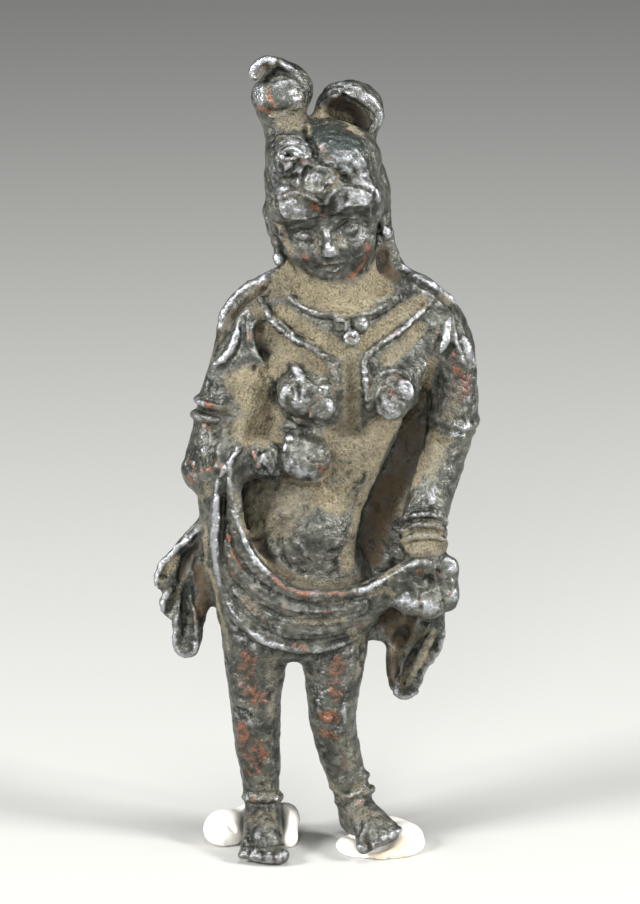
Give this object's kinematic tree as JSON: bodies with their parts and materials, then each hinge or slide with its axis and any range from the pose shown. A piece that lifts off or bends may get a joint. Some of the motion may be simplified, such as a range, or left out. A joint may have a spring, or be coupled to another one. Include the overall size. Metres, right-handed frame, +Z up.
{
  "type": "copper goddess figure",
  "caption": "Small solid-cast copper goddess with a knot and a loop of hair, cloak and draped scarf, fruit in her right hand, standing on two pressed lumps of white putty",
  "frame": {"origin": "on the ground under the middle of the standing figure's box", "axes": "+Z up, the figure faces -Y, her own right hand is towards -X"},
  "size_m": [0.0304, 0.0135, 0.0756],
  "materials": {
    "patinated_copper": "dark grey-green patina over copper, worn silvery on the high points, copper-red patches, tan soil in the hollows",
    "white_putty": "matt off-white, pressed by hand"
  },
  "bodies": {
    "root": {"figure": "patinated_copper", "putty_under_right_foot": "white_putty", "putty_under_left_foot": "white_putty"}
  },
  "joints": []
}
